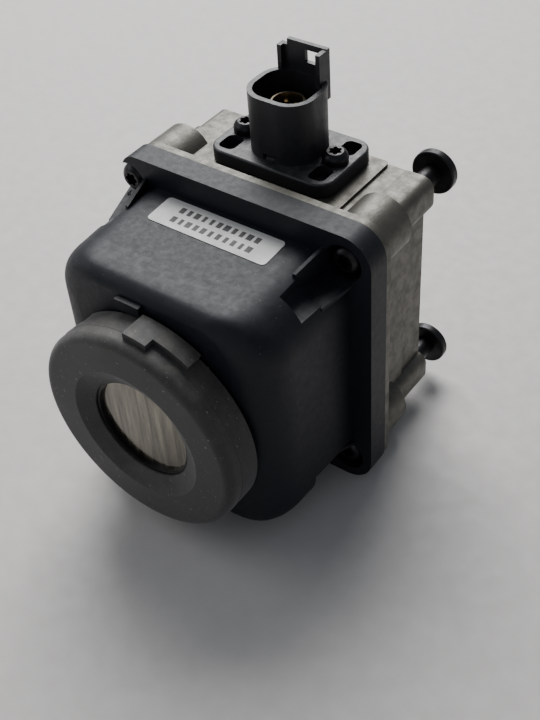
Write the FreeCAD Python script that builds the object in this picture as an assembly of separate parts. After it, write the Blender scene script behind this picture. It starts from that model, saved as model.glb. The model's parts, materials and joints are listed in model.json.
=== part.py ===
import FreeCAD, Part
import math
import os

# Sealed infrared camera module for a vehicle: a plastic front cover with a rubber lens hood,
# a cast rear housing, a latching data socket on top and three mounting studs behind.
# Working frame: X to the right seen from behind the camera's view, Y backwards along the optical
# axis, Z up; y = 0 is the joint between cover and housing, x = z = 0 is the optical axis.
# Everything is moved at the end so that the origin is the bottom centre of the whole module.

V = FreeCAD.Vector

# ---- driving sizes, millimetres ----
flange_w = 60.0            # square joint flange, across
flange_rise = 3.5          # flange centre above the optical axis
flange_r = 6.0             # flange corner radius
rim = 5.0                  # thickness of the cover's flange
slip = 0.05                # radial clearance of parts that slide together
touch = 0.3                # gap between parts that must not touch

body_w = 51.0              # cover body, width at the flange
body_front_w = 50.0        # cover body, width where the front rounding starts
body_drop = 5.0            # flange top down to the body top at the flange
body_slope = 1.0           # fall of the body top from flange to front
body_lift = 3.0            # flange bottom up to the body bottom
body_depth = 24.3          # flange front to body front
body_top_r = 10.5          # rounding of the long top edges
body_low_r = 8.0           # rounding of the long bottom edges
front_side_r = 8.0         # rounding of the upright front edges
front_top_r = 3.0          # rounding of the top and bottom front edges
cover_wall = 2.0

screw_pitch = 48.4         # square pitch of the cover screws
screw_r = 1.5
screw_head_r = 2.9
screw_head_h = 3.1
screw_face_r = 1.75        # flat front of the domed head
screw_rim = 0.8            # straight edge of the head
screw_floor = 1.6          # plastic left under a cover screw's head
screw_bite = 8.0           # screw length in the housing
pocket_gap = 0.9           # round a screw head in its pocket
channel_gap = 1.9          # from a screw head in to the walls of the screwdriver channel
channel_r = 2.5
channel_run = 12.0         # channel length in front of the flange
gusset_t = 0.7
gusset_run = 10.4          # from the pocket floor to the gusset's tip
gusset_root_gap = 0.3      # gusset face from the screw head, at the pocket floor
gusset_tip_gap = 2.0       # and at the tip
gusset_root_up = 2.8       # gusset's top edge outside the screw axis, at the pocket floor
gusset_tip_up = 0.3        # and at the tip
corner_cut = 25.7          # the flange's upper left corner is cut back to here, clear of a bracket
corner_cut_low = 17.0      # lower end of that cut
corner_cut_r = 3.5
ear_gap = 0.4              # plastic kept round the screw head at that corner

neck_r = 16.5              # cover neck that carries the hood
neck_len = 5.7             # neck length in front of the body
window_r = 11.5
window_t = 2.2
window_view_r = 10.3       # clear radius of the window retainer
retainer_r = 13.6
retainer_t = 0.5
seal_t = 0.6

hood_r = 22.0
hood_len = 7.8
hood_gap = 0.6             # between the hood's back and the cover
hood_mouth_r = 14.3
hood_throat_r = 10.9
hood_lip = 0.4             # straight wall at the bottom of the hood's cone
hood_edge_r = 1.8
clip_h = 1.3
clip_span = 32.0           # angle covered by a hood clip, degrees
clip_lean = 15.0           # clip centre from the top, towards +X, degrees
lug_w = 5.5
lug_h = 2.2
lug_t = 1.1

block_w = 49.2             # housing block behind the flange
block_top = 4.3            # flange top down to the block top
block_depth = 22.8         # joint to the rear face
block_r = 2.0
step_y = 15.2              # where the block's sides step in
step_in = 0.5
lip_t = 1.8                # housing flange thickness
lip_in = 0.3               # housing flange set in from the cover's
boss_r = 5.8
boss_in = 7.4              # boss centre in from the flange edge
boss_len = 11.0
cavity_w = 41.0            # square electronics space in the housing
cavity_r = 3.0
rear_wall = 3.0
groove_in = 0.5            # land between cavity and gasket groove
gasket_w = 1.4
gasket_t = 1.2
panel_w = 30.0             # shallow relief in the rear face
panel_t = 0.8
panel_rib = 1.6

stud_x = 22.2              # stud axes from the middle
stud_z = 22.1              # stud axes above and below the flange centre
stud_r = 2.0
stud_head_r = 4.55
stud_head_t = 1.9
stud_reach = 6.1           # rear face to the stud head's front
stud_bite = 8.0
lug_half = 3.9             # half width of a stud's cast lug
lug_run = 11.8             # length of the lug along the block

pad_side = 2.9             # machined seat beyond each end of the socket plate
pad_h = 0.6
plate_edge = 3.4           # screw axis to the end of the socket base plate
plate_d = 17.0
plate_t = 3.1
plate_r = 3.5
plate_y = 14.1             # plate centre behind the joint
plate_screw_gap = 0.85     # socket to a screw head
plate_screw_r = 1.5
plate_head_r = 2.45
plate_head_h = 2.2
plate_bite = 2.8
slot_w = 3.6
slot_l = 4.6
slot_t = 2.2
shroud_w = 13.8
shroud_d = 12.6
shroud_h = 12.4
shroud_r = 5.0
shroud_wall = 1.0
latch_w = 10.4
latch_h = 6.0              # latch tower above the shroud
latch_t = 0.9
latch_side = 3.3           # depth of the tower's longer side wall
latch_root = 4.0           # tower length inside the shroud
shield_r = 3.2
shield_wall = 0.35
shield_h = 9.5
pin_r = 0.4
pin_step = 1.1
pin_low = 0.8              # pins end below the shield's rim
inlet_w = 12.0             # opening in the housing roof under the socket
inlet_d = 9.0
socket_seal_t = 0.4

barrel_r = 12.4
barrel_bore_wall = 3.4
barrel_len = 22.0
lens_gap = 0.9             # window seat ledge back to the barrel
front_lens_wall = 1.8      # barrel wall round the front lens
front_lens_t = 4.2
rear_lens_wall = 4.2       # and round the rear lens
rear_lens_t = 3.0
rear_lens_in = 3.4         # barrel end to the rear lens
lens_ring_t = 1.0
holder_w = 38.0
holder_t = 2.5
holder_y = -6.5            # front of the holder plate
holder_tube_r = 14.4
holder_tube_len = 11.5
lock_ring_t = 1.8
post_half = 16.0           # board posts from the flange centre
post_r = 3.0
post_hole_r = 1.0
board_screw_head_r = 1.9
board_screw_head_h = 1.3
board_screw_bite = 4.0

board_w = 38.0
board_t = 1.6
board_r = 1.5
sensor_board_y = 5.0
board_gap = 6.8            # between the two boards
sensor_w = 16.0
sensor_t = 2.4
sensor_glass_w = 11.0
sensor_glass_t = 0.8
chip_w = 13.0
chip_t = 1.4
thermal_t = 1.2
link_w = 16.0
link_h = 4.0
flex_w = 8.0
flex_t = 0.3

pivot_z = 19.5             # shutter pivot above the optical axis
shutter_open = 50.0        # degrees between open and closed
flag_r = 7.4
flag_t = 0.4
flag_y = -2.7
flag_arm_w = 3.0
aperture_r = 6.6
plate_back_t = 0.6
actuator_r = 4.5
actuator_len = 7.0
shaft_r = 0.6
hub_r = 1.6

label_w = 26.6
label_d = 7.0
label_t = 0.12
label_gap = 1.0            # flange front to the label
label_r = 0.9

# ---- places that follow from the sizes ----
pocket_r = screw_head_r + pocket_gap
channel_in = screw_head_r + channel_gap
gusset_root = screw_head_r + gusset_root_gap
gusset_tip = screw_head_r + gusset_tip_gap
ear_r = screw_head_r + ear_gap
plate_screw_x = shroud_w / 2 + plate_head_r + plate_screw_gap
plate_w = 2 * (plate_screw_x + plate_edge)
pad_w = plate_w + 2 * pad_side
barrel_bore_r = barrel_r - barrel_bore_wall
front_lens_r = barrel_r - front_lens_wall
rear_lens_r = barrel_r - rear_lens_wall
zc = flange_rise
half = flange_w / 2
top = zc + half
bottom = zc - half
body_front = -rim - body_depth
neck_front = body_front - neck_len
retainer_front = neck_front - retainer_t
window_front = neck_front + touch
window_back = window_front + window_t
seat_y = window_back + seal_t
hood_back = body_front - hood_gap
hood_front = hood_back - hood_len
block_roof = top - block_top
block_floor = bottom + block_top
pad_top = block_roof + pad_h
plate_top = pad_top + plate_t
rear = block_depth
cavity_back = rear - rear_wall
board2_y = sensor_board_y + board_t + board_gap
post_y = board2_y + board_t
screw_half = screw_pitch / 2
barrel_front = seat_y + lens_gap
barrel_back = barrel_front + barrel_len
holder_back = holder_y + holder_t
stud_end = rear + stud_reach + stud_head_t
corners = [(sx * screw_half, zc + sz * screw_half) for sx in (-1, 1) for sz in (-1, 1)]
posts = [(sx * post_half, zc + sz * post_half) for sx in (-1, 1) for sz in (-1, 1)]
studs = {
    "stud_upper_right": (stud_x, zc + stud_z),
    "stud_lower_right": (stud_x, zc - stud_z),
    "stud_lower_left": (-stud_x, zc - stud_z),
}
origin_shift = V(0, -(hood_front + stud_end) / 2, -bottom)


# ---- simple solids ----
def box(x0, x1, y0, y1, z0, z1):
    return Part.makeBox(x1 - x0, y1 - y0, z1 - z0, V(x0, y0, z0))


def rod(r, y0, y1, x=0.0, z=0.0):
    return Part.makeCylinder(r, y1 - y0, V(x, y0, z), V(0, 1, 0))


def ring(ro, ri, y0, y1, x=0.0, z=0.0):
    return rod(ro, y0, y1, x, z).cut(rod(ri, y0 - 1, y1 + 1, x, z))


def pillar(r, z0, z1, x=0.0, y=0.0):
    return Part.makeCylinder(r, z1 - z0, V(x, y, z0), V(0, 0, 1))


def fuse(shapes):
    first, *others = shapes
    return first.fuse(others).removeSplitter() if others else first


def cut(shape, tools):
    for tool in tools:
        shape = shape.cut(tool)
    return shape


def round_rect(x0, x1, z0, z1, r_low, r_top, y):
    """Closed outline in the plane at y, with its own radius for the lower and upper corners."""
    s = math.sqrt(0.5)

    def corner(cx, cz, r, sx, sz):
        ends = [V(cx + sx * r, y, cz), V(cx + sx * r * s, y, cz + sz * r * s), V(cx, y, cz + sz * r)]
        return ends if sx * sz > 0 else ends[::-1]

    arcs = [
        corner(x1 - r_top, z1 - r_top, r_top, 1, 1),
        corner(x0 + r_top, z1 - r_top, r_top, -1, 1),
        corner(x0 + r_low, z0 + r_low, r_low, -1, -1),
        corner(x1 - r_low, z0 + r_low, r_low, 1, -1),
    ]
    edges = []
    for here, after in zip(arcs, arcs[1:] + arcs[:1]):
        edges.append(Part.Arc(*here).toShape())
        edges.append(Part.LineSegment(here[2], after[0]).toShape())
    return Part.Wire(edges)


def slab(w, d, r, y0, y1, x=0.0, z=0.0):
    """Rounded plate that faces Y: w wide, d high, centred on x, z."""
    wire = round_rect(x - w / 2, x + w / 2, z - d / 2, z + d / 2, r, r, y0)
    return Part.Face(wire).extrude(V(0, y1 - y0, 0))


def upright(w, d, r, z0, z1, x=0.0, y=0.0):
    """Rounded plate that faces Z: w along X, d along Y, centred on x, y."""
    flat = slab(w, d, r, 0, z1 - z0)
    flat.rotate(V(0, 0, 0), V(1, 0, 0), 90)
    flat.translate(V(x, y, z0))
    return flat


def revolve(points):
    """Solid of revolution about the optical axis from (radius, y) corner points."""
    path = [V(r, y, 0) for r, y in points]
    wire = Part.makePolygon(path + path[:1])
    return Part.Face(wire).revolve(V(0, 0, 0), V(0, 1, 0), 360)


def turned(shape, degrees, x=0.0, z=0.0):
    copy = shape.copy()
    copy.rotate(V(x, 0, z), V(0, 1, 0), degrees)
    return copy


def sector(ro, ri, y0, y1, start, span):
    """Part of a ring; start is measured from the top towards +X, span is below 120 degrees."""
    reach = 3 * ro
    fan = [V(0, y0, 0)]
    for a in (start, start + span / 2, start + span):
        fan.append(V(reach * math.sin(math.radians(a)), y0, reach * math.cos(math.radians(a))))
    wedge = Part.Face(Part.makePolygon(fan + fan[:1])).extrude(V(0, y1 - y0, 0))
    return ring(ro, ri, y0, y1).common(wedge)


def lobed_recess(r, depth, y, x, z, out):
    """Six-lobed driver recess of radius r; it opens towards out (-1 is the front)."""
    y0, y1 = (y, y + depth) if out < 0 else (y - depth, y)
    lobe = r * 0.3
    tools = [rod(r * 0.75, y0, y1, x, z)]
    for k in range(6):
        a = math.radians(60 * k)
        tools.append(rod(lobe, y0, y1, x + (r - lobe) * math.cos(a), z + (r - lobe) * math.sin(a)))
    return fuse(tools)


# ---- front cover ----
def body_outline(y, inset):
    """Outline of the tapered cover body at y, set in by a wall thickness."""
    front = body_front + inset
    turn_y = front + max(front_side_r - inset, 1.0)
    straight = min(1.0, (y + rim) / (turn_y + rim))
    w = body_w / 2 + (body_front_w - body_w) / 2 * straight - inset
    z1 = top - body_drop - body_slope * straight - inset
    z0 = bottom + body_lift + inset
    side = max(front_side_r - inset, 1.0)
    edge = max(front_top_r - inset, 0.8)
    if y < turn_y:
        w -= side - math.sqrt(max(side**2 - (turn_y - y) ** 2, 0))
    if y < front + edge:
        fall = edge - math.sqrt(max(edge**2 - (front + edge - y) ** 2, 0))
        z1 -= fall
        z0 += fall
    shrink = min(1.0, (w - 1) / (body_w / 2 - inset))
    return round_rect(-w, w, z0, z1, (body_low_r - inset) * shrink, (body_top_r - inset) * shrink, y)


def cover_body(inset, back):
    """Tapered prism with a rounded nose, from the plane at back to the nose."""
    front = body_front + inset
    side = max(front_side_r - inset, 1.0)
    straight = Part.makeLoft([body_outline(back, inset), body_outline(front + side, inset)], True, True)
    angles = [0, 18, 36, 52, 66, 78, 86]
    ys = [front + side * (1 - math.sin(math.radians(a))) for a in angles]
    nose = Part.makeLoft([body_outline(y, inset) for y in ys], True, False)
    return fuse([straight, nose])


def corner_point(sx, sz, across, up, y, swap):
    """Point beside a corner screw; across and up are distances from the flange centre lines."""
    dx, dz = (up, across) if swap else (across, up)
    return V(sx * dx, y, zc + sz * dz)


def flange_plate(inset, y0, y1):
    """Square flange; its upper left corner is cut back and ends in a slanted shoulder."""
    width = flange_w - 2 * inset
    r = flange_r - inset
    left = -width / 2
    edge = inset - corner_cut
    outline = [
        V(edge, y0 - 1, corner_cut_low),
        V(edge, y0 - 1, top + 1),
        V(left - 1, y0 - 1, top + 1),
        V(left - 1, y0 - 1, corner_cut_low - (edge - left) - 1),
    ]
    relief = Part.Face(Part.makePolygon(outline + outline[:1])).extrude(V(0, y1 - y0 + 2, 0))
    kept = slab(width, width, corner_cut_r, y0 - 1, y1 + 1, edge - left, zc)
    beside = box(left - 1, edge + r, y0, y1, zc + width / 2 - r, top + 1)
    return slab(width, width, r, y0, y1, 0, zc).cut(relief).cut(beside.cut(kept))


def gusset(sx, sz, swap):
    """Thin slanting web beside a screw head, from the pocket floor to the body."""
    y0, y1 = -screw_floor, -screw_floor - gusset_run
    low = screw_half - channel_in - 0.5
    ends = [
        (screw_half - gusset_root, low, y0),
        (screw_half - gusset_root, screw_half + gusset_root_up, y0),
        (screw_half - gusset_tip, screw_half + gusset_tip_up, y1),
        (screw_half - gusset_tip, low, y1),
    ]
    points = [corner_point(sx, sz, a, u, y, swap) for a, u, y in ends]
    face = Part.Face(Part.makePolygon(points + points[:1]))
    inward = V(0, 0, -sz * gusset_t) if swap else V(-sx * gusset_t, 0, 0)
    return face.extrude(inward)


def channel(sx, sz, grow, y0, y1):
    """Square-cornered screwdriver channel outside a corner of the body."""
    reach = 2 * channel_in
    inner = screw_half - channel_in - grow
    centre = inner + reach
    return slab(2 * reach, 2 * reach, channel_r + grow, y0, y1, sx * centre, zc + sz * centre)


def front_cover():
    flange = flange_plate(0, -rim, 0)
    ear = rod(ear_r, -screw_floor, 0, -screw_half, zc + screw_half)
    outer = fuse([flange, ear, cover_body(0, -rim / 2), rod(neck_r, neck_front, body_front + cover_wall)])
    hollow = cover_body(cover_wall, 0)
    quads = [(sx, sz) for sx in (-1, 1) for sz in (-1, 1)]
    for sx, sz in quads:
        hollow = hollow.cut(channel(sx, sz, cover_wall * 0.8, -rim - channel_run - cover_wall, 1))
    shell = outer.cut(hollow)
    for sx, sz in quads:
        shell = shell.cut(channel(sx, sz, 0, -rim - channel_run, -rim))
    for x, z in corners:
        shell = shell.cut(rod(pocket_r, -rim - 1, -screw_floor, x, z))
        shell = shell.cut(rod(screw_r + 4 * slip, -screw_floor - 1, 1, x, z))
    shell = fuse([shell] + [gusset(sx, sz, swap) for sx, sz in quads for swap in (False, True)])
    bores = [
        rod(window_r + slip, neck_front - 1, seat_y),
        rod(window_view_r + 0.1, seat_y - 1, barrel_front - touch),
        rod(barrel_r + 1, barrel_front - touch, body_front + cover_wall + 1),
    ]
    lug_z = hood_r + touch
    lug = box(-lug_w - 1, -1, body_front - lug_t, body_front + 1, lug_z, lug_z + lug_h)
    return fuse([cut(shell, bores), lug])


def lens_hood():
    body = revolve([
        (hood_mouth_r, hood_front),
        (hood_r, hood_front),
        (hood_r, hood_back),
        (neck_r + slip, hood_back),
        (neck_r + slip, neck_front - slip),
        (retainer_r + slip, neck_front - slip),
        (retainer_r + slip, retainer_front - slip),
        (hood_throat_r, retainer_front - slip),
        (hood_throat_r, retainer_front - slip - hood_lip),
    ])
    rims = [e for e in body.Edges if abs(e.BoundBox.YMin - hood_front) < 0.01
            and abs(e.BoundBox.YMax - hood_front) < 0.01 and e.BoundBox.XMax > hood_r - 0.01]
    body = body.makeFillet(hood_edge_r, rims)
    notch = sector(hood_r + 1, hood_r - 2, hood_back - 2.4, hood_back + 1, -56, 18)
    body = body.cut(notch)
    start = clip_lean - clip_span / 2
    wide = sector(hood_r + clip_h, hood_r - 1, hood_back - 3.6, hood_back, start, clip_span)
    tall = sector(hood_r + clip_h, hood_r - 1, hood_back - 5.6, hood_back, start, clip_span * 0.4)
    clip = fuse([wide, tall])
    return fuse([body, clip, turned(clip, 180)])


# ---- rear housing ----
def housing_outer():
    lip = flange_plate(lip_in, 0, lip_t)
    high = block_roof - block_floor
    front_block = slab(block_w, high, block_r, 0, step_y, 0, zc)
    back_block = slab(block_w - 2 * step_in, high, block_r, step_y, rear, 0, zc)
    shapes = [lip, front_block, back_block]
    for sx in (-1, 1):
        for sz in (-1, 1):
            shapes.append(rod(boss_r, 0, boss_len, sx * (half - boss_in), zc + sz * (half - boss_in)))
    for x, z in studs.values():
        side = 1 if x > 0 else -1
        x_out = x + side * lug_half
        lug = slab(2 * lug_half, 2 * lug_half - 0.4, 2.4, rear - lug_run, rear, x_out - side * lug_half, z)
        shapes.append(lug)
    shapes.append(upright(pad_w, rear - 4.4, 1.0, block_roof - 1, pad_top, 0, (rear + 4.4) / 2))
    return fuse(shapes)


def rear_housing():
    outer = housing_outer()
    room = slab(cavity_w, cavity_w, cavity_r, -1, cavity_back, 0, zc)
    groove_w = cavity_w + 2 * (groove_in + gasket_w)
    groove = slab(groove_w, groove_w, cavity_r + groove_in + gasket_w, -1, gasket_t, 0, zc)
    land_w = cavity_w + 2 * groove_in
    groove = groove.cut(slab(land_w, land_w, cavity_r + groove_in, -2, gasket_t + 1, 0, zc))
    tools = [room, groove]
    tools.append(upright(inlet_w, inlet_d, 1.5, zc + cavity_w / 2 - 1, pad_top + 1, 0, plate_y))
    for sx in (-1, 1):
        tools.append(pillar(plate_screw_r + slip, pad_top - plate_bite - 0.5, pad_top + 1,
                            sx * plate_screw_x, plate_y))
    tools += [rod(screw_r + slip, -1, screw_bite + 1, x, z) for x, z in corners]
    tools += [rod(stud_r + slip, rear - stud_bite - 0.5, rear + 1, x, z) for x, z in studs.values()]
    relief = slab(panel_w, panel_w, 2.0, rear - panel_t, rear + 1, 0, zc)
    for k in (-1, 0, 1):
        rib_z = zc + k * panel_w / 4
        relief = relief.cut(box(-panel_w, panel_w, rear - panel_t - 1, rear + 2,
                                rib_z - panel_rib / 2, rib_z + panel_rib / 2))
    shell = cut(outer, tools + [relief])
    inner = [rod(post_r, post_y, cavity_back + 0.5, x, z) for x, z in posts]
    heat_y = post_y + chip_t + thermal_t
    inner.append(slab(chip_w + 2, chip_w + 2, 1.0, heat_y, cavity_back + 0.5, 0, zc))
    shell = fuse([shell] + inner)
    return cut(shell, [rod(post_hole_r, post_y - 1, cavity_back - 0.8, x, z) for x, z in posts])


def cover_gasket():
    w_out = cavity_w + 2 * (groove_in + gasket_w) - 2 * slip
    w_in = cavity_w + 2 * groove_in + 2 * slip
    body = slab(w_out, w_out, cavity_r + groove_in + gasket_w - slip, 0, gasket_t, 0, zc)
    return body.cut(slab(w_in, w_in, cavity_r + groove_in + slip, -1, gasket_t + 1, 0, zc))


def domed_head(r, h, face_r, straight):
    """Screw head with a domed top, standing on z = 0 and pointing up."""
    mid = math.radians(48)
    arc = Part.Arc(V(r, 0, straight),
                   V(face_r + (r - face_r) * math.cos(mid), 0, straight + (h - straight) * math.sin(mid)),
                   V(face_r, 0, h)).toShape()
    lines = Part.makePolygon([V(face_r, 0, h), V(0, 0, h), V(0, 0, 0), V(r, 0, 0), V(r, 0, straight)])
    face = Part.Face(Part.Wire([arc] + lines.Edges))
    return face.revolve(V(0, 0, 0), V(0, 0, 1), 360)


def cover_screws():
    solids = []
    for x, z in corners:
        head = domed_head(screw_head_r, screw_head_h, screw_face_r, screw_rim)
        head.rotate(V(0, 0, 0), V(1, 0, 0), 90)
        head.translate(V(x, -screw_floor, z))
        shank = rod(screw_r, -screw_floor - 0.1, screw_bite, x, z)
        face = -screw_floor - screw_head_h
        solids.append(fuse([head, shank]).cut(lobed_recess(1.4, 1.6, face, x, z, -1)))
    return Part.makeCompound(solids)


def stud(x, z):
    head_y = rear + stud_reach
    head = rod(stud_head_r, head_y, head_y + stud_head_t, x, z)
    head = head.makeFillet(0.4, [e for e in head.Edges if e.BoundBox.XLength > stud_head_r])
    shank = rod(stud_r, rear - stud_bite, head_y + 0.5, x, z)
    collar = rod(stud_r + 0.6, rear, rear + 0.8, x, z)
    return fuse([head, shank, collar])


# ---- socket on the roof ----
def connector_shell():
    plate = upright(plate_w, plate_d, plate_r, pad_top + socket_seal_t, plate_top, 0, plate_y)
    edges = [e for e in plate.Edges if e.BoundBox.ZMin > plate_top - 0.01]
    plate = plate.makeFillet(0.5, edges)
    for sx in (-1, 1):
        for sy in (-1, 1):
            y = plate_y + sy * (plate_d / 2 - slot_l / 2 - 1.4)
            plate = plate.cut(upright(slot_w, slot_l, 1.2, plate_top - slot_t, plate_top + 1,
                                      sx * plate_screw_x, y))
        plate = plate.cut(pillar(plate_screw_r + 3 * slip, pad_top - 1, plate_top + 1,
                                 sx * plate_screw_x, plate_y))
    rim_z = plate_top + shroud_h
    shroud = upright(shroud_w, shroud_d, shroud_r, pad_top + socket_seal_t, rim_z, 0, plate_y)
    bore = upright(shroud_w - 2 * shroud_wall, shroud_d - 2 * shroud_wall, shroud_r - shroud_wall,
                   plate_top - 0.6, rim_z + 1, 0, plate_y)
    back = plate_y + shroud_d / 2
    tall = rim_z + latch_h
    low = rim_z - latch_root
    wall = box(-latch_w / 2, latch_w / 2, back - latch_t, back, low, tall)
    wall = wall.cut(box(0.4, latch_w / 2 - 1.4, back - 3, back + 1, tall - 3.7, tall - 1.2))
    wall = wall.cut(box(-latch_w / 2 - 1, -latch_w / 2 + 1.7, back - 3, back + 1, tall - 1.2, tall + 1))
    right = box(latch_w / 2 - latch_t, latch_w / 2, back - latch_side, back, low, tall - 0.2)
    left = box(-latch_w / 2, -latch_w / 2 + latch_t, back - 1.8, back, low, tall - 1.2)
    body = fuse([plate, shroud])
    body = body.cut(bore)
    body = fuse([body, wall, right, left])
    notch = box(-1.6, 1.2, plate_y - shroud_d / 2 - 1, plate_y - shroud_d / 2 + shroud_wall + 0.5,
                plate_top, plate_top + 1.2)
    hole = pillar(shield_r + slip, pad_top - 1, plate_top + 1, 0, plate_y)
    return cut(body, [notch, hole])


def contact_shield():
    foot = zc + cavity_w / 2 + 0.6
    tube = pillar(shield_r, foot, plate_top + shield_h, 0, plate_y)
    return tube.cut(pillar(shield_r - shield_wall, foot - 1, plate_top + shield_h + 1, 0, plate_y))


def contact_insulator():
    foot = zc + cavity_w / 2 + 0.6
    core = pillar(shield_r - shield_wall - slip, foot, plate_top + shield_h * 0.55, 0, plate_y)
    for x, y in pin_places():
        core = core.cut(pillar(pin_r + slip, foot - 1, plate_top + shield_h, x, y))
    return core


def pin_places():
    return [(sx * pin_step, plate_y + sy * pin_step) for sx in (-1, 1) for sy in (-1, 1)]


def contact_pins():
    foot = zc + cavity_w / 2 - 0.4
    solids = []
    for x, y in pin_places():
        end = plate_top + shield_h - pin_low
        pin = pillar(pin_r, foot, end, x, y)
        solids.append(pin.makeChamfer(0.15, [e for e in pin.Edges if e.BoundBox.ZMin > end - 0.01]))
    return Part.makeCompound(solids)


def connector_seal():
    sheet = upright(plate_w - 1, plate_d - 1, plate_r - 0.5, pad_top, pad_top + socket_seal_t, 0, plate_y)
    sheet = sheet.cut(upright(inlet_w, inlet_d, 1.5, pad_top - 1, pad_top + 2, 0, plate_y))
    for sx in (-1, 1):
        sheet = sheet.cut(pillar(plate_screw_r + 3 * slip, pad_top - 1, pad_top + 2,
                                 sx * plate_screw_x, plate_y))
    return sheet


def connector_screws():
    solids = []
    for sx in (-1, 1):
        x = sx * plate_screw_x
        head = domed_head(plate_head_r, plate_head_h, 1.6, 0.5)
        head.translate(V(x, plate_y, plate_top))
        shank = pillar(plate_screw_r, pad_top - plate_bite, plate_top + 0.1, x, plate_y)
        recess = lobed_recess(1.3, 1.4, 0, 0, 0, -1)
        recess.rotate(V(0, 0, 0), V(1, 0, 0), 90)
        recess.translate(V(x, plate_y, plate_top + plate_head_h - 1.4))
        solids.append(fuse([head, shank]).cut(recess))
    return Part.makeCompound(solids)


# ---- optics ----
def window_retainer():
    seat = ring(retainer_r, window_view_r, retainer_front, neck_front)
    lip = ring(window_r - slip, window_view_r, neck_front - 0.1, window_front)
    return fuse([seat, lip])


def lens_barrel():
    body = rod(barrel_r, barrel_front, barrel_back)
    front_seat = barrel_front + lens_ring_t + front_lens_t
    rear_seat = barrel_back - rear_lens_in - rear_lens_t
    bores = [
        rod(front_lens_r + slip, barrel_front - 1, front_seat),
        rod(rear_lens_r - 1.2, front_seat - 1, barrel_back + 1),
        rod(rear_lens_r + slip, rear_seat, barrel_back + 1),
        rod(barrel_bore_r, front_seat - 1, rear_seat - 1.5),
    ]
    return cut(body, bores)


def bulged_disc(r, y0, y1, bulge):
    """Round lens whose front face stands out by bulge at the middle."""
    ball_r = (r**2 + bulge**2) / (2 * bulge)
    disc = rod(r, y0, y1)
    ball = Part.makeSphere(ball_r, V(0, y0 + ball_r, 0))
    return disc.common(ball)


def lens_holder():
    plate = slab(holder_w, holder_w, 4.0, holder_y, holder_back, 0, zc)
    tube = rod(holder_tube_r, holder_back - holder_tube_len, holder_back)
    legs = [rod(post_r, holder_back - 0.5, sensor_board_y, x, z) for x, z in posts]
    body = fuse([plate, tube] + legs)
    tools = [rod(barrel_r + slip, holder_y - 30, barrel_back + touch)]
    tools.append(rod(aperture_r + 1.5, holder_y - 1, holder_back + 1))
    tools += [rod(post_hole_r + slip, holder_y - 1, sensor_board_y + 1, x, z) for x, z in posts]
    tools.append(rod(shaft_r + 0.6, holder_y - 1, holder_back + 1, 0, pivot_z))
    return cut(body, tools)


# ---- shutter ----
def shutter_flag():
    """Blade parked beside the aperture; it swings about the pivot to cover the sensor."""
    disc = rod(flag_r, flag_y, flag_y + flag_t)
    arm = box(-flag_arm_w / 2, flag_arm_w / 2, flag_y, flag_y + flag_t, flag_r - 2, pivot_z)
    hub = rod(hub_r, flag_y - 0.4, flag_y + flag_t + 0.4, 0, pivot_z)
    blade = fuse([disc, arm, hub])
    blade = blade.cut(rod(shaft_r, flag_y - 5, flag_y + 5, 0, pivot_z))
    return turned(blade, -shutter_open, 0, pivot_z)


def shutter_shaft():
    return rod(shaft_r, holder_y - actuator_len + 1.0, flag_y + flag_t + 0.4, 0, pivot_z)


def shutter_actuator():
    can = rod(actuator_r, holder_y - actuator_len, holder_y, 0, pivot_z)
    front = [e for e in can.Edges if e.BoundBox.YMax < holder_y - actuator_len + 0.01]
    can = can.makeFillet(0.6, front)
    return can.cut(rod(shaft_r + slip, holder_y - actuator_len + 0.9, holder_y + 1, 0, pivot_z))


def shutter_plate():
    plate = slab(24.0, 26.0, 3.0, holder_back, holder_back + plate_back_t, 0, 0)
    return plate.cut(rod(aperture_r, holder_back - 1, holder_back + 2))


# ---- boards ----
def board(y):
    sheet = slab(board_w, board_w, board_r, y, y + board_t, 0, zc)
    return cut(sheet, [rod(post_hole_r + slip, y - 1, y + 5, x, z) for x, z in posts])


def board_screws():
    solids = []
    for x, z in posts:
        head = rod(board_screw_head_r, holder_y - board_screw_head_h, holder_y, x, z)
        shank = rod(post_hole_r - slip, holder_y - 0.1, sensor_board_y + board_t + board_screw_bite, x, z)
        recess = lobed_recess(0.9, 0.7, holder_y - board_screw_head_h, x, z, -1)
        solids.append(fuse([head, shank]).cut(recess))
    return Part.makeCompound(solids)


def board_standoffs():
    solids = []
    y0 = sensor_board_y + board_t
    for x, z in posts:
        hexagon = [V(x + 2.4 * math.cos(math.radians(60 * k)), y0, z + 2.4 * math.sin(math.radians(60 * k)))
                   for k in range(6)]
        bar = Part.Face(Part.makePolygon(hexagon + hexagon[:1])).extrude(V(0, board_gap, 0))
        bar = bar.cut(rod(post_hole_r, y0 - 1, y0 + board_screw_bite + 0.6, x, z))
        tail = rod(post_hole_r - slip, y0 + board_gap - 0.5, cavity_back - 1.4, x, z)
        solids.append(fuse([bar, tail]))
    return Part.makeCompound(solids)


def flex_cable():
    """Ribbon from the socket's pins down to the processor board, with a bent foot."""
    y_face = board2_y - 1.2
    z_up = zc + cavity_w / 2 - 0.4 - flex_t
    down = box(-flex_w / 2, flex_w / 2, y_face, y_face + flex_t, zc + board_w / 2 - 6, z_up)
    foot = box(-flex_w / 2, flex_w / 2, y_face, plate_y + 2, z_up, z_up + flex_t)
    return fuse([down, foot])


def label():
    """Thin sticker on the sloping roof of the cover."""
    y0 = -rim - label_gap - label_d
    roof = top - body_drop
    run = body_depth - front_side_r
    tilt = math.degrees(math.atan2(body_slope, run))
    sheet = upright(label_w, label_d, label_r, roof, roof + label_t, 0, y0 + label_d / 2)
    sheet.rotate(V(0, -rim, roof), V(1, 0, 0), tilt)
    return sheet


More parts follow.
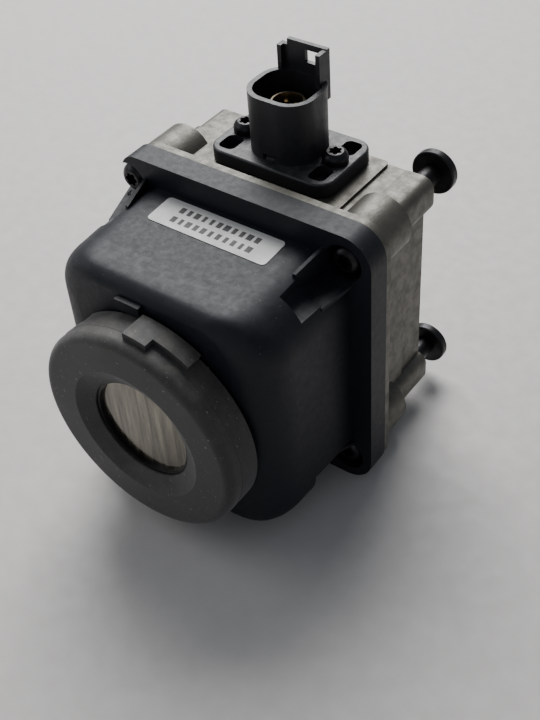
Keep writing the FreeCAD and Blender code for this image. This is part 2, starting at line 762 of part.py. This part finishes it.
half_chip = chip_w / 2
sensor_front = sensor_board_y - sensor_t
nodes = {
    "front_cover": front_cover(),
    "lens_hood": lens_hood(),
    "window": rod(window_r, window_front, window_back),
    "window_retainer": window_retainer(),
    "window_seal": ring(window_r - slip, window_view_r + 0.1, window_back, seat_y),
    "window_heater": ring(window_view_r, window_view_r - 0.9, window_back, window_back + 0.3),
    "lens_barrel": lens_barrel(),
    "front_lens": bulged_disc(front_lens_r, barrel_front + lens_ring_t,
                              barrel_front + lens_ring_t + front_lens_t, 1.6),
    "lens_retaining_ring": ring(front_lens_r, front_lens_r - 1.6, barrel_front, barrel_front + lens_ring_t),
    "rear_lens": bulged_disc(rear_lens_r, barrel_back - rear_lens_in - rear_lens_t,
                             barrel_back - rear_lens_in, 1.1),
    "rear_lens_ring": ring(rear_lens_r, rear_lens_r - 1.4, barrel_back - rear_lens_in,
                           barrel_back - rear_lens_in + 1.2),
    "focus_lock_ring": ring(holder_tube_r, barrel_r + slip, holder_back - holder_tube_len - lock_ring_t,
                            holder_back - holder_tube_len),
    "lens_holder": lens_holder(),
    "shutter_plate": shutter_plate(),
    "shutter_actuator": shutter_actuator(),
    "shutter_shaft": shutter_shaft(),
    "shutter_flag": shutter_flag(),
    "sensor_package": slab(sensor_w, sensor_w, 0.6, sensor_front, sensor_board_y),
    "sensor_glass": slab(sensor_glass_w, sensor_glass_w, 0.3, sensor_front - sensor_glass_t, sensor_front),
    "sensor_board": board(sensor_board_y),
    "board_screws": board_screws(),
    "board_standoffs": board_standoffs(),
    "board_link": slab(link_w, link_h, 0.4, sensor_board_y + board_t, board2_y, 0, zc - 12),
    "processor_board": board(board2_y),
    "processor_chip": slab(chip_w, chip_w, 0.4, post_y, post_y + chip_t, 0, zc),
    "thermal_pad": slab(chip_w - 1, chip_w - 1, 0.6, post_y + chip_t, post_y + chip_t + thermal_t, 0, zc),
    "flex_socket": box(-flex_w / 2 - 0.8, flex_w / 2 + 0.8, board2_y - 0.9, board2_y,
                       zc + board_w / 2 - 6, zc + board_w / 2 - 3),
    "flex_cable": flex_cable(),
    "cover_gasket": cover_gasket(),
    "rear_housing": rear_housing(),
    "cover_screws": cover_screws(),
    "connector_seal": connector_seal(),
    "connector_shell": connector_shell(),
    "contact_shield": contact_shield(),
    "contact_insulator": contact_insulator(),
    "contact_pins": contact_pins(),
    "connector_screws": connector_screws(),
    "label": label(),
}
for name, (x, z) in studs.items():
    nodes[name] = stud(x, z)

os.makedirs("parts", exist_ok=True)
for name, shape in nodes.items():
    placed = shape.copy()
    placed.translate(origin_shift)
    placed.exportStep(f"parts/{name}.step")
    print(name, len(placed.Solids), placed.isValid(), round(placed.Volume, 1))
print("origin shift", tuple(round(v, 3) for v in origin_shift))
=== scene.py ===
# %% [markdown]
# # An infrared camera module
# This lesson dresses a imported CAD model of a small sealed camera: a plastic front cover with a
# rubber hood, a cast aluminium back and a data socket on the roof.
# The CAD model is the frame. Every piece made here is in metres, in the same place as the CAD.
# Loading comes first.

# %% Load the frame
import bpy
import json
import math
from mathutils import Matrix, Vector


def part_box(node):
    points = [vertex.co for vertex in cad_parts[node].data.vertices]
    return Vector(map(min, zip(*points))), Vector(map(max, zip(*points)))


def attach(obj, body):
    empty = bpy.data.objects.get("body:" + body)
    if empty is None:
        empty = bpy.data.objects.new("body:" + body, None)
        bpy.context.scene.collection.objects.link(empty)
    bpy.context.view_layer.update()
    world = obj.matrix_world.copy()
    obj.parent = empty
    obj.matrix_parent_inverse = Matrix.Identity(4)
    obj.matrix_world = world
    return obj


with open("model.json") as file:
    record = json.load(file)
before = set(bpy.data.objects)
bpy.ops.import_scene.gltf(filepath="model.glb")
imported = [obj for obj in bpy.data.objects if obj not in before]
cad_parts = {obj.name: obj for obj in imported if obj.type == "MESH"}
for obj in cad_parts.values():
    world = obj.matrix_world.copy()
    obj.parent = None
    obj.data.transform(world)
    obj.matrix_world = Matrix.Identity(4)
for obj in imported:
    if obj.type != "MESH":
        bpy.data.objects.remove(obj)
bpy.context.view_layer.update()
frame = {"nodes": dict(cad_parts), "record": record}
cad_nodes = frame["nodes"]

# %% [markdown]
# ## The camera
# The module is seen from above its front right corner. The lens is a mild telephoto one, close
# enough to give some perspective. A matrix of three axes places the camera exactly, which is
# simpler here than a target and a constraint.

# %% Camera
VIEW_CENTRE = Vector((0.0, 0.00345, 0.0265))
VIEW_RIGHT = Vector((0.8076526, 0.5865397, -0.0605679))
VIEW_DOWN = Vector((0.3686814, -0.5824733, -0.7244301))
VIEW_ALONG = Vector((-0.4601862, 0.5627576, -0.6866823))
FOCAL_IN_FRAME_HEIGHTS = 1133.27 / 720
SENSOR_MM = 24.0

camera_data = bpy.data.cameras.new("camera")
camera_data.sensor_fit = "VERTICAL"
camera_data.sensor_height = SENSOR_MM
camera_data.lens = SENSOR_MM * FOCAL_IN_FRAME_HEIGHTS
camera = bpy.data.objects.new("camera", camera_data)
camera_place = Vector((0.109483, -0.131023, 0.149722)) + VIEW_CENTRE
camera_turn = Matrix((VIEW_RIGHT, -VIEW_DOWN, -VIEW_ALONG)).transposed().to_4x4()
camera.matrix_world = Matrix.Translation(camera_place) @ camera_turn
bpy.context.collection.objects.link(camera)
bpy.context.scene.camera = camera
print("lens", round(camera_data.lens, 1), "mm")

# %% [markdown]
# ## Wiring a finish
# A finish is a small tree of nodes. Every one here starts the same way: Object coordinates feed
# noise textures, one wide for patches of colour and one fine for grain. Object coordinates are in
# metres and stay with the part, so a scale of 1000 gives features of about a millimetre.
# A helper that makes and links one noise keeps the finishes short.

# %% Helpers for node trees
def start_finish(name):
    """An empty finish: the material, its shader and its Object coordinates."""
    material = bpy.data.materials.new(name)
    material.use_nodes = True
    tree = material.node_tree
    shader = tree.nodes["Principled BSDF"]
    place = tree.nodes.new("ShaderNodeTexCoord").outputs["Object"]
    return material, tree, shader, place


def noise(tree, place, scale, detail=4.0, roughness=0.6, stretch=(1, 1, 1)):
    """One noise on Object coordinates, which may be stretched into streaks."""
    mapping = tree.nodes.new("ShaderNodeMapping")
    mapping.inputs["Scale"].default_value = stretch
    texture = tree.nodes.new("ShaderNodeTexNoise")
    texture.inputs["Scale"].default_value = scale
    texture.inputs["Detail"].default_value = detail
    texture.inputs["Roughness"].default_value = roughness
    tree.links.new(place, mapping.inputs["Vector"])
    tree.links.new(mapping.outputs["Vector"], texture.inputs["Vector"])
    return texture.outputs["Fac"]


def spread(tree, value, low, high, to_low, to_high):
    """Stretches a narrow band of a value over a wanted range."""
    node = tree.nodes.new("ShaderNodeMapRange")
    node.clamp = True
    node.inputs["From Min"].default_value = low
    node.inputs["From Max"].default_value = high
    node.inputs["To Min"].default_value = to_low
    node.inputs["To Max"].default_value = to_high
    tree.links.new(value, node.inputs["Value"])
    return node.outputs["Result"]


def blend_colours(tree, share, first, second):
    """Mixes two colours; each is a tuple or another node's output."""
    node = tree.nodes.new("ShaderNodeMix")
    node.data_type = "RGBA"
    tree.links.new(share, node.inputs[0])
    for socket, colour in ((node.inputs[6], first), (node.inputs[7], second)):
        if isinstance(colour, tuple):
            socket.default_value = (*colour, 1.0)
        else:
            tree.links.new(colour, socket)
    return node.outputs[2]


def times(tree, first, second):
    """Product of two values."""
    node = tree.nodes.new("ShaderNodeMath")
    node.operation = "MULTIPLY"
    tree.links.new(first, node.inputs[0])
    tree.links.new(second, node.inputs[1])
    return node.outputs[0]


def relief(tree, shader, heights):
    """Chains bumps; each entry is a height, its strength and its depth in metres."""
    normal = None
    for height, strength, depth in heights:
        bump = tree.nodes.new("ShaderNodeBump")
        bump.inputs["Strength"].default_value = strength
        bump.inputs["Distance"].default_value = depth
        tree.links.new(height, bump.inputs["Height"])
        if normal is not None:
            tree.links.new(normal, bump.inputs["Normal"])
        normal = bump.outputs["Normal"]
    tree.links.new(normal, shader.inputs["Normal"])


def facing_up(tree, low=0.3, high=0.95):
    """1 where a surface faces up, 0 where it is upright: where dust settles."""
    geometry = tree.nodes.new("ShaderNodeNewGeometry")
    split = tree.nodes.new("ShaderNodeSeparateXYZ")
    tree.links.new(geometry.outputs["Normal"], split.inputs["Vector"])
    return spread(tree, split.outputs["Z"], low, high, 0.0, 1.0)


print("helpers ready")

# %% [markdown]
# ## Moulded plastic
# The cover is black glass-filled plastic from a spark-eroded mould, which leaves an even fine
# grain. It could be a flat dark colour, but real plastic is a little uneven in gloss, and dust
# lies on its top. The grain is a fine bump, the gloss follows a wide noise, and sparse specks of
# dust show only where the surface faces up.

# %% Plastic finishes
def moulded_plastic(name, dark, light, gloss=(0.34, 0.5), dust=(0.30, 0.31, 0.31),
                    dusting=0.35, grain=0.22,
                    specular=0.5):
    """Moulded plastic with grain, uneven gloss and settled dust."""
    material, tree, shader, place = start_finish(name)
    patches = noise(tree, place, 700, 8.0, 0.7)
    body = blend_colours(tree, patches, dark, light)
    specks = spread(tree, noise(tree, place, 2600, 2.0), 0.72, 0.76, 0.0, 0.7)
    haze = spread(tree, noise(tree, place, 420, 8.0, 0.75), 0.4, 0.8, 0.0, dusting)
    up = facing_up(tree)
    hazy = blend_colours(tree, times(tree, haze, up), body, dust)
    dusty = blend_colours(tree, times(tree, specks, up), hazy, dust)
    tree.links.new(dusty, shader.inputs["Base Color"])
    tree.links.new(spread(tree, patches, 0.35, 0.65, *gloss), shader.inputs["Roughness"])
    shader.inputs["Specular IOR Level"].default_value = specular
    grain_height = noise(tree, place, 4200, 2.0)
    relief(tree, shader, [(grain_height, grain, 0.00006), (noise(tree, place, 220, 2.0), 0.08, 0.0002)])
    return material


cover_plastic = moulded_plastic("cover_plastic", (0.0045, 0.0055, 0.009), (0.008, 0.010, 0.016),
                                gloss=(0.46, 0.58), dusting=0.05, specular=0.32)
socket_plastic = moulded_plastic(
    "socket_plastic", (0.010, 0.010, 0.012), (0.020, 0.021, 0.023), gloss=(0.38, 0.55), dusting=0.2)
insulator_plastic = moulded_plastic(
    "insulator_plastic", (0.03, 0.03, 0.03), (0.06, 0.06, 0.055), dusting=0.05)
print("plastics", cover_plastic.name, socket_plastic.name, insulator_plastic.name)

# %% [markdown]
# ## Rubber
# The hood is soft rubber. It has no clear highlight, it turns grey where it has been rubbed, and
# pale dust clings to it. High roughness and a touch of sheen give the soft look, and two noises
# of different width give smears and scuffs.

# %% Rubber finishes
def rubber(name, dark, worn, dust, dusting=0.5, sheen=0.2, settled=0.3):
    """Matt rubber with scuffs and clinging dust."""
    material, tree, shader, place = start_finish(name)
    smears = spread(tree, noise(tree, place, 160, 8.0, 0.7), 0.4, 0.75, 0.0, 1.0)
    body = blend_colours(tree, smears, dark, worn)
    scuffs = spread(tree, noise(tree, place, 500, 8.0, 0.75, (1, 1, 3)), 0.58, 0.68, 0.0, 0.5)
    scuffed = blend_colours(tree, scuffs, body, worn)
    clinging = spread(tree, noise(tree, place, 1500, 3.0), 0.66, 0.72, 0.0, dusting)
    lying = spread(tree, noise(tree, place, 260, 7.0, 0.7), 0.3, 0.8, 0.0, settled)
    film = times(tree, facing_up(tree, -0.1, 1.0), lying)
    filmed = blend_colours(tree, film, scuffed, dust)
    dusty = blend_colours(tree, clinging, filmed, dust)
    tree.links.new(dusty, shader.inputs["Base Color"])
    tree.links.new(spread(tree, smears, 0.0, 1.0, 0.62, 0.85), shader.inputs["Roughness"])
    shader.inputs["Sheen Weight"].default_value = sheen
    shader.inputs["Sheen Roughness"].default_value = 0.45
    relief(tree, shader, [(noise(tree, place, 2600, 4.0), 0.3, 0.00008), (scuffs, 0.15, 0.00005)])
    return material


hood_rubber = rubber("hood_rubber", (0.017, 0.017, 0.017), (0.038, 0.037, 0.034), (0.34, 0.32, 0.28))
seal_rubber = rubber("seal_rubber", (0.012, 0.012, 0.012), (0.025, 0.025, 0.024),
                     (0.2, 0.2, 0.2), 0.1, settled=0.1)
print("rubbers", hood_rubber.name, seal_rubber.name)

# %% [markdown]
# ## Metals
# The back is die-cast aluminium, dull grey with stains from handling. The screws and studs are
# blackened steel, the socket's shield is dull nickel, and the pins are gold plated. One recipe
# serves them all: two colours for the stains, a range of roughness and a grain that may be
# stretched into machining lines.

# %% Metal finishes
def metal(name, clean, stained, metallic=1.0, gloss=(0.3, 0.5), stain_scale=180, grain_scale=2500,
          grain=0.25, depth=0.00008, stretch=(1, 1, 1)):
    """Metal with stains, uneven gloss and a cast or machined grain."""
    material, tree, shader, place = start_finish(name)
    stains = spread(tree, noise(tree, place, stain_scale, 8.0, 0.65), 0.38, 0.68, 0.0, 1.0)
    pits = spread(tree, noise(tree, place, stain_scale * 6, 6.0, 0.7), 0.55, 0.7, 0.0, 0.6)
    body = blend_colours(tree, stains, clean, stained)
    pitted = blend_colours(tree, pits, body, stained)
    tree.links.new(pitted, shader.inputs["Base Color"])
    tree.links.new(spread(tree, stains, 0.0, 1.0, *gloss), shader.inputs["Roughness"])
    shader.inputs["Metallic"].default_value = metallic
    lines = noise(tree, place, grain_scale, 4.0, 0.6, stretch)
    relief(tree, shader, [(lines, grain, depth), (pits, 0.12, 0.00006)])
    return material


cast_aluminium = metal("cast_aluminium", (0.135, 0.128, 0.110), (0.092, 0.087, 0.073),
                       0.6, (0.40, 0.58), 420, 1800, 0.5)
blued_steel = metal("blued_steel", (0.035, 0.035, 0.038), (0.018, 0.017, 0.017),
                    0.8, (0.3, 0.48), 400, 3000, 0.15)
shield_nickel = metal("shield_nickel", (0.20, 0.17, 0.12), (0.10, 0.08, 0.055), 0.9, (0.3, 0.5), 500)
contact_gold = metal("contact_gold", (0.80, 0.56, 0.22), (0.62, 0.40, 0.13), 1.0, (0.2, 0.35), 900)
brass = metal("brass", (0.62, 0.48, 0.22), (0.42, 0.30, 0.12), 1.0, (0.25, 0.4), 500)
shutter_steel = metal("shutter_steel", (0.32, 0.32, 0.31), (0.20, 0.20, 0.19), 0.95, (0.3, 0.45), 300,
                      1200, 0.12, 0.00005, (1, 12, 1))
actuator_can = metal("actuator_can", (0.40, 0.40, 0.38), (0.26, 0.26, 0.25), 0.95, (0.3, 0.42), 300)
black_anodised = metal("black_anodised", (0.020, 0.020, 0.022), (0.012, 0.012, 0.013),
                       0.55, (0.32, 0.5), 300, 2200, 0.12, 0.00005)
print("metals", cast_aluminium.name, blued_steel.name, shield_nickel.name, contact_gold.name)

# %% [markdown]
# ## Coated germanium
# An infrared window is a polished disc of germanium with a hard dark coating. It doesn't let light
# through: it mirrors, with a warm brown tint. A metal-like shader with very low roughness says
# that, and faint upright streaks stand for wiping marks. The lenses inside are the same stuff.

# %% Optics finishes
def coated_disc(name, tint, streaked, gloss):
    """Mirror-like coated disc with faint wiping streaks."""
    material, tree, shader, place = start_finish(name)
    streaks = spread(tree, noise(tree, place, 1100, 6.0, 0.65, (1, 1, 0.07)), 0.38, 0.66, 0.0, 1.0)
    tree.links.new(blend_colours(tree, streaks, tint, streaked), shader.inputs["Base Color"])
    tree.links.new(spread(tree, streaks, 0.0, 1.0, *gloss), shader.inputs["Roughness"])
    shader.inputs["Metallic"].default_value = 0.9
    shader.inputs["Coat Weight"].default_value = 0.5
    shader.inputs["Coat Roughness"].default_value = 0.06
    relief(tree, shader, [(streaks, 0.04, 0.00003)])
    return material


window_glass = coated_disc("window_glass", (0.075, 0.066, 0.050), (0.25, 0.225, 0.18), (0.12, 0.3))
lens_glass = coated_disc("lens_glass", (0.16, 0.12, 0.16), (0.22, 0.18, 0.22), (0.06, 0.14))
sensor_glass = coated_disc("sensor_glass", (0.12, 0.12, 0.15), (0.2, 0.2, 0.24), (0.05, 0.1))
print("optics", window_glass.name, lens_glass.name, sensor_glass.name)

# %% [markdown]
# ## Electronics, film and paper
# Boards, chips, pads and the label are all thin, even stuff. One recipe with a faint mottling and
# its own grain is enough for each, with the colour and gloss changed.

# %% Sheet finishes
def even_stuff(name, colour, variation=0.18, gloss=(0.45, 0.6), grain_scale=3000, grain=0.12):
    """An even material with faint mottling and a fine grain."""
    material, tree, shader, place = start_finish(name)
    darker = tuple(c * (1 - variation) for c in colour)
    mottle = spread(tree, noise(tree, place, 260, 5.0), 0.35, 0.65, 0.0, 1.0)
    tree.links.new(blend_colours(tree, mottle, colour, darker), shader.inputs["Base Color"])
    tree.links.new(spread(tree, mottle, 0.0, 1.0, *gloss), shader.inputs["Roughness"])
    relief(tree, shader, [(noise(tree, place, grain_scale, 3.0), grain, 0.00004)])
    return material


label_film = even_stuff("label_film", (0.60, 0.60, 0.58), 0.10, (0.35, 0.5))
label_ink = even_stuff("label_ink", (0.03, 0.03, 0.03), 0.3, (0.5, 0.6))
board_green = even_stuff("board_green", (0.02, 0.13, 0.06), 0.3, (0.3, 0.4))
chip_black = even_stuff("chip_black", (0.025, 0.025, 0.027), 0.3, (0.5, 0.6))
thermal_blue = even_stuff("thermal_blue", (0.30, 0.42, 0.55), 0.1, (0.7, 0.8))
link_cream = even_stuff("link_cream", (0.60, 0.56, 0.45))
flex_amber = even_stuff("flex_amber", (0.45, 0.22, 0.04), 0.2, (0.25, 0.35))
ceramic_package = even_stuff("ceramic_package", (0.16, 0.13, 0.11))
heater_film = even_stuff("heater_film", (0.30, 0.16, 0.05), 0.2, (0.3, 0.4))
print("films", label_film.name, board_green.name)

# %% [markdown]
# ## Giving each CAD node its finish
# The CAD nodes already have the right shapes, so they only need finishes. A table from the
# record's slot to a finish keeps every node that shares a slot alike, and nothing is forgotten.

# %% Dress the CAD nodes
FINISH_OF_SLOT = {
    "cover_plastic": cover_plastic, "hood_rubber": hood_rubber, "window_glass": window_glass,
    "dark_trim": black_anodised, "seal_rubber": seal_rubber, "heater_film": heater_film,
    "black_anodised": black_anodised, "lens_glass": lens_glass, "shutter_steel": shutter_steel,
    "actuator_can": actuator_can, "ceramic_package": ceramic_package, "sensor_glass": sensor_glass,
    "board_green": board_green, "blued_steel": blued_steel, "brass_plain": brass,
    "link_cream": link_cream, "chip_black": chip_black, "thermal_blue": thermal_blue,
    "flex_amber": flex_amber, "cast_aluminium": cast_aluminium, "connector_black": socket_plastic,
    "shield_nickel": shield_nickel, "insulator_cream": insulator_plastic, "contact_gold": contact_gold,
    "label_silver": label_film,
}
for part in frame["record"]["subparts"]:
    piece = cad_nodes[part["node"]]
    finish = FINISH_OF_SLOT[part["material_slot"]]
    if not piece.material_slots:
        piece.data.materials.append(finish)
    for holder in piece.material_slots:
        holder.material = finish

# %% [markdown]
# ## Turning a node tree into a piece
# Geometry Nodes make the things that repeat: the marks printed on the label, the mould line round
# the hood and the flecks of lint. Each tree gets named inputs. The helper below runs a tree on a
# carrier mesh, keeps the plain mesh that comes out, and leaves no modifier behind.

# %% Helpers for Geometry Nodes
def new_tree(name, inputs):
    """A geometry tree with a geometry input and output and named number inputs."""
    tree = bpy.data.node_groups.new(name, "GeometryNodeTree")
    tree.interface.new_socket("Geometry", in_out="INPUT", socket_type="NodeSocketGeometry")
    for label, kind, value in inputs:
        socket = tree.interface.new_socket(label, in_out="INPUT", socket_type=kind)
        socket.default_value = value
    tree.interface.new_socket("Geometry", in_out="OUTPUT", socket_type="NodeSocketGeometry")
    entry = tree.nodes.new("NodeGroupInput")
    leave = tree.nodes.new("NodeGroupOutput")
    return tree, entry, leave


def close_tree(tree, leave, geometry, finish):
    """Ends a tree in Realize Instances and Set Material."""
    real = tree.nodes.new("GeometryNodeRealizeInstances")
    paint = tree.nodes.new("GeometryNodeSetMaterial")
    paint.inputs["Material"].default_value = finish
    tree.links.new(geometry, real.inputs["Geometry"])
    tree.links.new(real.outputs["Geometry"], paint.inputs["Geometry"])
    tree.links.new(paint.outputs["Geometry"], leave.inputs["Geometry"])


def run_tree(name, carrier_mesh, tree, settings):
    """Runs a tree on a mesh and returns the result as a plain object."""
    carrier = bpy.data.objects.new(name + "_carrier", carrier_mesh)
    bpy.context.collection.objects.link(carrier)
    modifier = carrier.modifiers.new("nodes", "NODES")
    modifier.node_group = tree
    ids = {item.name: item.identifier for item in tree.interface.items_tree if item.in_out == "INPUT"}
    for label, value in settings.items():
        modifier[ids[label]] = value
    bpy.context.view_layer.update()
    ready = carrier.evaluated_get(bpy.context.evaluated_depsgraph_get())
    mesh = bpy.data.meshes.new_from_object(ready)
    bpy.data.objects.remove(carrier)
    piece = bpy.data.objects.new(name, mesh)
    bpy.context.collection.objects.link(piece)
    return piece


print("geometry helpers ready")

# %% [markdown]
# ## Marks on the label
# The label is printed with two rows of short bars, a plain stand-in for print that says nothing.
# Each bar is a thin box on a point of a grid, with its length drawn at random from a fixed seed.
# The grid lies on the label's own face, so the face's slope is read from the CAD mesh.

# %% Label marks
def upper_face(node):
    """Area centre and direction of the faces of a node that look up."""
    faces = [f for f in cad_nodes[node].data.polygons if f.normal.z > 0.9]
    area = sum(f.area for f in faces)
    centre = sum((f.center * f.area for f in faces), Vector()) / area
    normal = sum((f.normal * f.area for f in faces), Vector()).normalized()
    return centre, normal


def mark_tree():
    """Bars on the points of the carrier, of random length."""
    inputs = [("Length", "NodeSocketFloat", 0.001), ("Depth", "NodeSocketFloat", 0.0004),
              ("Height", "NodeSocketFloat", 0.00003), ("Seed", "NodeSocketInt", 3)]
    tree, entry, leave = new_tree("label_marks", inputs)
    bar = tree.nodes.new("GeometryNodeMeshCube")
    size = tree.nodes.new("ShaderNodeCombineXYZ")
    for axis, label in (("X", "Length"), ("Y", "Depth"), ("Z", "Height")):
        tree.links.new(entry.outputs[label], size.inputs[axis])
    tree.links.new(size.outputs["Vector"], bar.inputs["Size"])
    draw = tree.nodes.new("FunctionNodeRandomValue")
    draw.data_type = "FLOAT_VECTOR"
    draw.inputs[0].default_value = (0.45, 1.0, 1.0)
    draw.inputs[1].default_value = (1.0, 1.0, 1.0)
    tree.links.new(entry.outputs["Seed"], draw.inputs["Seed"])
    place = tree.nodes.new("GeometryNodeInstanceOnPoints")
    tree.links.new(entry.outputs["Geometry"], place.inputs["Points"])
    tree.links.new(bar.outputs["Mesh"], place.inputs["Instance"])
    tree.links.new(draw.outputs["Value"], place.inputs["Scale"])
    close_tree(tree, leave, place.outputs["Instances"], label_ink)
    return tree


label_centre, label_normal = upper_face("label")
BAR_PITCH = 0.0017
ROW_PITCH = 0.0027
BARS = 11
MARK_LIFT = 0.00001
points = [((i - (BARS - 1) / 2) * BAR_PITCH, (row - 0.5) * ROW_PITCH, 0.0)
          for row in range(2) for i in range(BARS)]
marks_mesh = bpy.data.meshes.new("marks_carrier")
marks_mesh.from_pydata(points, [], [])
label_marks = run_tree("label_marks", marks_mesh, mark_tree(),
                       {"Length": 0.00135, "Depth": 0.0015, "Height": 0.00004, "Seed": 3})
label_turn = Vector((0, 0, 1)).rotation_difference(label_normal).to_matrix().to_4x4()
label_marks.data.transform(Matrix.Translation(label_centre + label_normal * MARK_LIFT) @ label_turn)
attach(label_marks, "module")
print("label marks", len(label_marks.data.polygons), "faces")
print("the label faces", [round(v, 3) for v in label_normal])

# %% [markdown]
# ## Mould line and flecks of lint
# A moulded ring has a thin raised line where the halves of its mould met. It follows a circle, so
# a fine profile is swept along a curve. Rubber and textured plastic also hold flecks of lint,
# which are scattered over the upper faces of copies of the parts. The seed is fixed.

# %% Mould line round the hood
def ring_line_tree():
    """A fine round profile swept along a circle."""
    inputs = [("Radius", "NodeSocketFloat", 0.022), ("Thickness", "NodeSocketFloat", 0.0001)]
    tree, entry, leave = new_tree("mould_line", inputs)
    path = tree.nodes.new("GeometryNodeCurvePrimitiveCircle")
    path.inputs["Resolution"].default_value = 180
    profile = tree.nodes.new("GeometryNodeCurvePrimitiveCircle")
    profile.inputs["Resolution"].default_value = 8
    sweep = tree.nodes.new("GeometryNodeCurveToMesh")
    tree.links.new(entry.outputs["Radius"], path.inputs["Radius"])
    tree.links.new(entry.outputs["Thickness"], profile.inputs["Radius"])
    tree.links.new(path.outputs["Curve"], sweep.inputs["Curve"])
    tree.links.new(profile.outputs["Curve"], sweep.inputs["Profile Curve"])
    close_tree(tree, leave, sweep.outputs["Mesh"], hood_rubber)
    return tree


LINE_R = 0.0001
LINE_SUNK = 0.00004
LINE_BEHIND_FRONT = 0.0035
hood_low, hood_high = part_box("lens_hood")
hood_outer = (hood_high.x - hood_low.x) / 2
line_mesh = bpy.data.meshes.new("line_carrier")
hood_mould_line = run_tree("hood_mould_line", line_mesh, ring_line_tree(),
                           {"Radius": hood_outer - LINE_SUNK, "Thickness": LINE_R})
window_low, window_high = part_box("window")
line_place = (window_low + window_high) / 2
line_place.y = hood_low.y + LINE_BEHIND_FRONT
hood_mould_line.data.transform(Matrix.Translation(line_place) @ Matrix.Rotation(math.pi / 2, 4, "X"))
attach(hood_mould_line, "module")
print("mould line", len(hood_mould_line.data.polygons), "faces")

# %% Flecks of lint
lint = even_stuff("lint", (0.45, 0.43, 0.38), 0.2, (0.8, 0.9))


def fleck_tree():
    """Small flat flecks scattered over the faces that look up."""
    inputs = [("Density", "NodeSocketFloat", 60000.0), ("Size", "NodeSocketFloat", 0.0001),
              ("Seed", "NodeSocketInt", 7)]
    tree, entry, leave = new_tree("lint_flecks", inputs)
    normal = tree.nodes.new("GeometryNodeInputNormal")
    split = tree.nodes.new("ShaderNodeSeparateXYZ")
    upward = tree.nodes.new("FunctionNodeCompare")
    upward.inputs[1].default_value = 0.35
    scatter = tree.nodes.new("GeometryNodeDistributePointsOnFaces")
    speck = tree.nodes.new("GeometryNodeMeshIcoSphere")
    speck.inputs["Subdivisions"].default_value = 1
    draw = tree.nodes.new("FunctionNodeRandomValue")
    draw.data_type = "FLOAT_VECTOR"
    draw.inputs[0].default_value = (0.3, 0.3, 0.15)
    draw.inputs[1].default_value = (1.6, 0.8, 0.3)
    place = tree.nodes.new("GeometryNodeInstanceOnPoints")
    tree.links.new(normal.outputs["Normal"], split.inputs["Vector"])
    tree.links.new(split.outputs["Z"], upward.inputs[0])
    tree.links.new(entry.outputs["Geometry"], scatter.inputs["Mesh"])
    tree.links.new(upward.outputs["Result"], scatter.inputs["Selection"])
    tree.links.new(entry.outputs["Density"], scatter.inputs["Density"])
    tree.links.new(entry.outputs["Seed"], scatter.inputs["Seed"])
    tree.links.new(entry.outputs["Size"], speck.inputs["Radius"])
    tree.links.new(scatter.outputs["Points"], place.inputs["Points"])
    tree.links.new(scatter.outputs["Rotation"], place.inputs["Rotation"])
    tree.links.new(speck.outputs["Mesh"], place.inputs["Instance"])
    tree.links.new(draw.outputs["Value"], place.inputs["Scale"])
    close_tree(tree, leave, place.outputs["Instances"], lint)
    return tree


flecks = fleck_tree()
FLECK_SIZE = 0.00007
FLECK_SEED = 7
LINT_PLACES = (("lens_hood", 60000.0, "hood_rubber"), ("front_cover", 12000.0, "cover_plastic"))
for node, density, slot_name in LINT_PLACES:
    piece = run_tree("lint_on_" + node, cad_nodes[node].data.copy(), flecks,
                     {"Density": density, "Size": FLECK_SIZE, "Seed": FLECK_SEED})
    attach(piece, "module")
    print(piece.name, len(piece.data.polygons), "faces")

# %% [markdown]
# ## Floor and light
# The module stands on a plain pale floor. One large soft lamp behind and to the left lights the
# top at a shallow angle, so the grain and the rounded edges show while the front and the right
# stay dark. A weak fill and a pale sky keep the shadows open.

# %% Floor and light
FLOOR_HALF = 3.0
floor_corners = [(x * FLOOR_HALF, y * FLOOR_HALF, 0) for x, y in ((-1, -1), (1, -1), (1, 1), (-1, 1))]
floor_mesh = bpy.data.meshes.new("floor")
floor_mesh.from_pydata(floor_corners, [], [(0, 1, 2, 3)])
floor_mesh.materials.append(even_stuff("pale_floor", (0.62, 0.60, 0.57), 0.04, (0.5, 0.6), 900, 0.03))
floor = bpy.data.objects.new("floor", floor_mesh)
bpy.context.collection.objects.link(floor)

world = bpy.data.worlds.new("studio")
world.use_nodes = True
sky = world.node_tree.nodes["Background"]
sky.inputs["Color"].default_value = (0.80, 0.87, 1.0, 1)
sky.inputs["Strength"].default_value = 0.22
bpy.context.scene.world = world


def soft_lamp(name, place, power, size):
    """A square area lamp that faces the module."""
    data = bpy.data.lights.new(name, "AREA")
    data.energy = power
    data.size = size
    lamp = bpy.data.objects.new(name, data)
    lamp.location = place
    lamp.rotation_euler = (Vector((0, 0, 0.03)) - lamp.location).to_track_quat("-Z", "Y").to_euler()
    bpy.context.collection.objects.link(lamp)


soft_lamp("window_light", (-0.36, 0.46, 0.60), 10.5, 0.6)
soft_lamp("left_fill", (-0.55, -0.25, 0.35), 1.1, 0.5)
soft_lamp("front_fill", (0.25, -0.6, 0.30), 0.2, 0.5)
